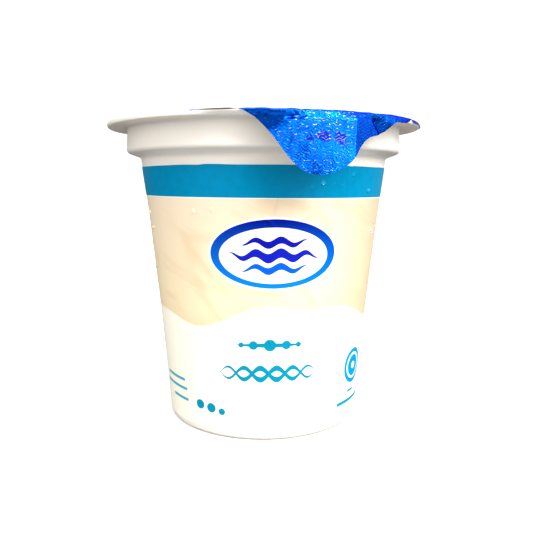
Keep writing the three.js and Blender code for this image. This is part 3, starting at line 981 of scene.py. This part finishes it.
# wavy lines across the tab, their waves out of step from patch to patch
patches, turnsBy, shiftsBy = foilLook["wander"]
wander = addNode(tree, "TexNoise", {"Vector": flat, "Scale": patches, "Detail": 1.0})[0]
phase = addNode(tree, "Math", {0: wander, 1: turnsBy}, operation="MULTIPLY")[0]
patches, turnsBy = foilLook["jitter"]
jitter = addNode(tree, "TexNoise", {"Vector": flat, "Scale": patches, "Detail": 0.0})[0]
phase = addNode(tree, "Math", {0: jitter, 1: turnsBy, 2: phase}, operation="MULTIPLY_ADD")[0]
waggle = sineWave(tree, flatAxes[0], foilLook["lineWave"], phase)
shifted = addNode(tree, "Math", {0: waggle, 1: foilLook["waveHeight"], 2: flatAxes[1]}, operation="MULTIPLY_ADD")[0]
shifted = addNode(tree, "Math", {0: wander, 1: shiftsBy, 2: shifted}, operation="MULTIPLY_ADD")[0]
lines = sineWave(tree, shifted, foilLook["lineSpacing"])

# the lines break off here and there, with grit and a few taller pips between
patches, low, high, least = foilLook["breaks"]
breaks = addNode(tree, "TexNoise", {"Vector": flat, "Scale": patches, "Detail": 1.0})[0]
present = addNode(tree, "MapRange", {"Value": breaks, "From Min": low, "From Max": high, "To Min": least})[0]
pressed = addNode(tree, "Math", {0: lines, 1: present}, operation="MULTIPLY")[0]
patches, share = foilLook["grit"]
grit = addNode(tree, "TexNoise", {"Vector": flat, "Scale": patches, "Detail": 2.0})[0]
pressed = addNode(tree, "Math", {0: grit, 1: share, 2: pressed}, operation="MULTIPLY_ADD")[0]
pips = addNode(tree, "VectorMath", {0: flat, 1: foilLook["pipsPerMm"]}, operation="MULTIPLY")[0]
pips = addNode(tree, "TexNoise", {"Vector": pips, "Scale": 1.0, "Detail": 0.0})[0]
low, high, tallest = foilLook["pips"]
pips = addNode(tree, "MapRange", {
    "Value": pips, "From Min": low, "From Max": high, "To Max": tallest,
}, interpolation_type="SMOOTHSTEP")[0]
pressed = addNode(tree, "Math", {0: pressed, 1: pips}, operation="ADD")[0]

# the sealing head presses a ring of fine grooves where the flange is
fromCentre = addNode(tree, "VectorMath", {0: flat}, operation="LENGTH")[1]
offRing = addNode(tree, "Math", {0: fromCentre, 1: -foilLook["sealRadius"]}, operation="ADD")[0]
offRing = addNode(tree, "Math", {0: offRing}, operation="ABSOLUTE")[0]
low, high = foilLook["sealHalf"]
sealed = addNode(tree, "MapRange", {"Value": offRing, "From Min": high, "From Max": low})[0]
grooves = sineWave(tree, fromCentre, foilLook["grooveSpacing"])
pressed = addNode(tree, "Mix", {0: sealed, 2: pressed, 3: grooves})[0]

# left of the first crease the fold has pressed the pattern flatter
past = addNode(tree, "Math", {
    0: flatAxes[1], 1: foilLook["firstSlope"], 2: flatAxes[0],
}, operation="MULTIPLY_ADD")[0]
crisp = addNode(tree, "MapRange", {
    "Value": past, "From Min": foilLook["firstCrease"] - foilLook["creaseHalf"],
    "From Max": foilLook["firstCrease"] + foilLook["creaseHalf"], "To Min": foilLook["pressedFlat"],
})[0]
onTop = addNode(tree, "Math", {0: flatAxes[1], 1: foilLook["tabStart"]}, operation="GREATER_THAN")[0]
crisp = addNode(tree, "Math", {0: crisp, 1: onTop}, operation="MAXIMUM")[0]
pressed = addNode(tree, "Math", {0: pressed, 1: crisp}, operation="MULTIPLY")[0]
relief = addNode(tree, "Bump", {"Height": pressed, "Distance": foilLook["lineDepth"] * mm, "Strength": 1.0})[0]
blue = addNode(tree, "Mix", {
    0: wander, 6: linearColour(foilLook["lacquerDeep"]), 7: linearColour(foilLook["lacquer"]),
}, data_type="RGBA")[2]

# painted highlight: the crests are made pale, above all where the foil bends over the flange and left of the ridge,
# standing in for the lamp's glints there
low, high, least, most = foilLook["bend"]
bent = addNode(tree, "MapRange", {
    "Value": flatAxes[1], "From Min": low, "From Max": high, "To Min": least, "To Max": most,
}, interpolation_type="SMOOTHSTEP")[0]
low, high, least = foilLook["rim"]
offTop = addNode(tree, "MapRange", {
    "Value": flatAxes[1], "From Min": low, "From Max": high, "To Min": 1.0, "To Max": least,
})[0]
bent = addNode(tree, "Math", {0: bent, 1: offTop}, operation="MULTIPLY")[0]
low, high = foilLook["crestFrom"]
crests = addNode(tree, "MapRange", {"Value": pressed, "From Min": low, "From Max": high})[0]
low, high, least = foilLook["ridge"]
leftOfRidge = addNode(tree, "MapRange", {
    "Value": flatAxes[0], "From Min": low, "From Max": high, "To Min": 1.0, "To Max": least,
})[0]
paintedGlint = addNode(tree, "Math", {0: crests, 1: bent}, operation="MULTIPLY")[0]
paintedGlint = addNode(tree, "Math", {0: paintedGlint, 1: leftOfRidge}, operation="MULTIPLY")[0]
blue = addNode(tree, "Mix", {0: paintedGlint, 6: blue, 7: linearColour(foilLook["paintedGlint"])}, data_type="RGBA")[2]

# the stamp: ragged patches of ink; pale on the crests, a painted highlight
patches, roughly, low, high = foilLook["stampRagged"]
ragged = addNode(tree, "TexNoise", {"Vector": flat, "Scale": patches, "Detail": 1.0})[0]
inked = 0.0
for spot, half in foilLook["stampSpots"]:
    reach = ovalReach(tree, flat, spot, half)
    reach = addNode(tree, "Math", {0: ragged, 1: roughly, 2: reach}, operation="MULTIPLY_ADD")[0]
    group = addNode(tree, "MapRange", {"Value": reach, "From Min": high, "From Max": low})[0]
    inked = addNode(tree, "Math", {0: group, 1: inked}, operation="MAXIMUM")[0]
# painted highlight: the stamp's crests turn pale lavender
low, high = foilLook["stampCrest"]
onCrest = addNode(tree, "MapRange", {"Value": pressed, "From Min": low, "From Max": high})[0]
marked = addNode(tree, "Mix", {
    0: onCrest, 6: linearColour(foilLook["stamp"]), 7: linearColour(foilLook["stampPaintedGlint"]),
}, data_type="RGBA")[2]
covered = addNode(tree, "Math", {0: inked, 1: foilLook["stampShare"]}, operation="MULTIPLY")[0]
blue = addNode(tree, "Mix", {0: covered, 6: blue, 7: marked}, data_type="RGBA")[2]
dulled = addNode(tree, "Math", {0: inked, 1: foilLook["stampDull"]}, operation="MULTIPLY")[0]
metallic = addNode(tree, "Math", {0: 1.0, 1: dulled}, operation="SUBTRACT")[0]
metal = addNode(tree, "BsdfPrincipled", {
    "Base Color": blue, "Metallic": metallic, "Roughness": foilLook["roughness"], "Normal": relief,
    "Specular Tint": linearColour(foilLook["grazing"]),
    "Coat Weight": foilLook["coat"], "Coat Roughness": foilLook["coatRoughness"],
})[0]
tree.links.new(metal, output.inputs["Surface"])

# Bare aluminium, rolled: the underside and the cut edge, soft silver with faint streaks
bareLook = {"silver": "#D9DADC", "streaksPerMm": (4.0, 0.3, 1.0), "roughness": (0.28, 0.42)}
bare, tree, output = newMaterial("rolled_aluminium")
flat = addNode(tree, "UVMap", uv_map="foilFlat")[0]
streak = addNode(tree, "VectorMath", {0: flat, 1: bareLook["streaksPerMm"]}, operation="MULTIPLY")[0]
streak = addNode(tree, "TexNoise", {"Vector": streak, "Scale": 1.0, "Detail": 2.0})[0]
low, high = bareLook["roughness"]
shine = addNode(tree, "MapRange", {"Value": streak, "To Min": low, "To Max": high})[0]
silver = addNode(tree, "BsdfPrincipled", {
    "Base Color": linearColour(bareLook["silver"]), "Metallic": 1.0, "Roughness": shine,
})[0]
tree.links.new(silver, output.inputs["Surface"])
paint(lidPiece, lacquered, bare)
applyModifiers(lidPiece)
shadeSmooth(lidPiece, 50)

# Water, condensed: clear with a sharp glint
waterLook = {"ior": 1.33, "filmSize": 1.5, "roughest": 0.04}
water, tree, output = newMaterial("condensed_water")
place = addNode(tree, "TexCoord")[3]
wetness = addNode(tree, "TexNoise", {"Vector": place, "Scale": 1 / (waterLook["filmSize"] * mm)})[0]
shine = addNode(tree, "MapRange", {"Value": wetness, "To Min": 0.0, "To Max": waterLook["roughest"]})[0]
clear = addNode(tree, "BsdfPrincipled", {
    "Base Color": (1.0, 1.0, 1.0, 1.0), "Transmission Weight": 1.0, "IOR": waterLook["ior"], "Roughness": shine,
})[0]
tree.links.new(clear, output.inputs["Surface"])
paint(dropsPiece, water)
print("stage: materials are on")

# Each piece in the shared frame; the drops stand for nothing in the CAD part
for piece, node, slot in (
    (cupPiece, "cup", "cup_plastic"),
    (labelPiece, "label", "label_film"),
    (lidPiece, "foil_lid", "lid_foil"),
    (dropsPiece, None, "label_film"),
):
    settle(piece)
    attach(piece, "root")
    if node:
        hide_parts(node)
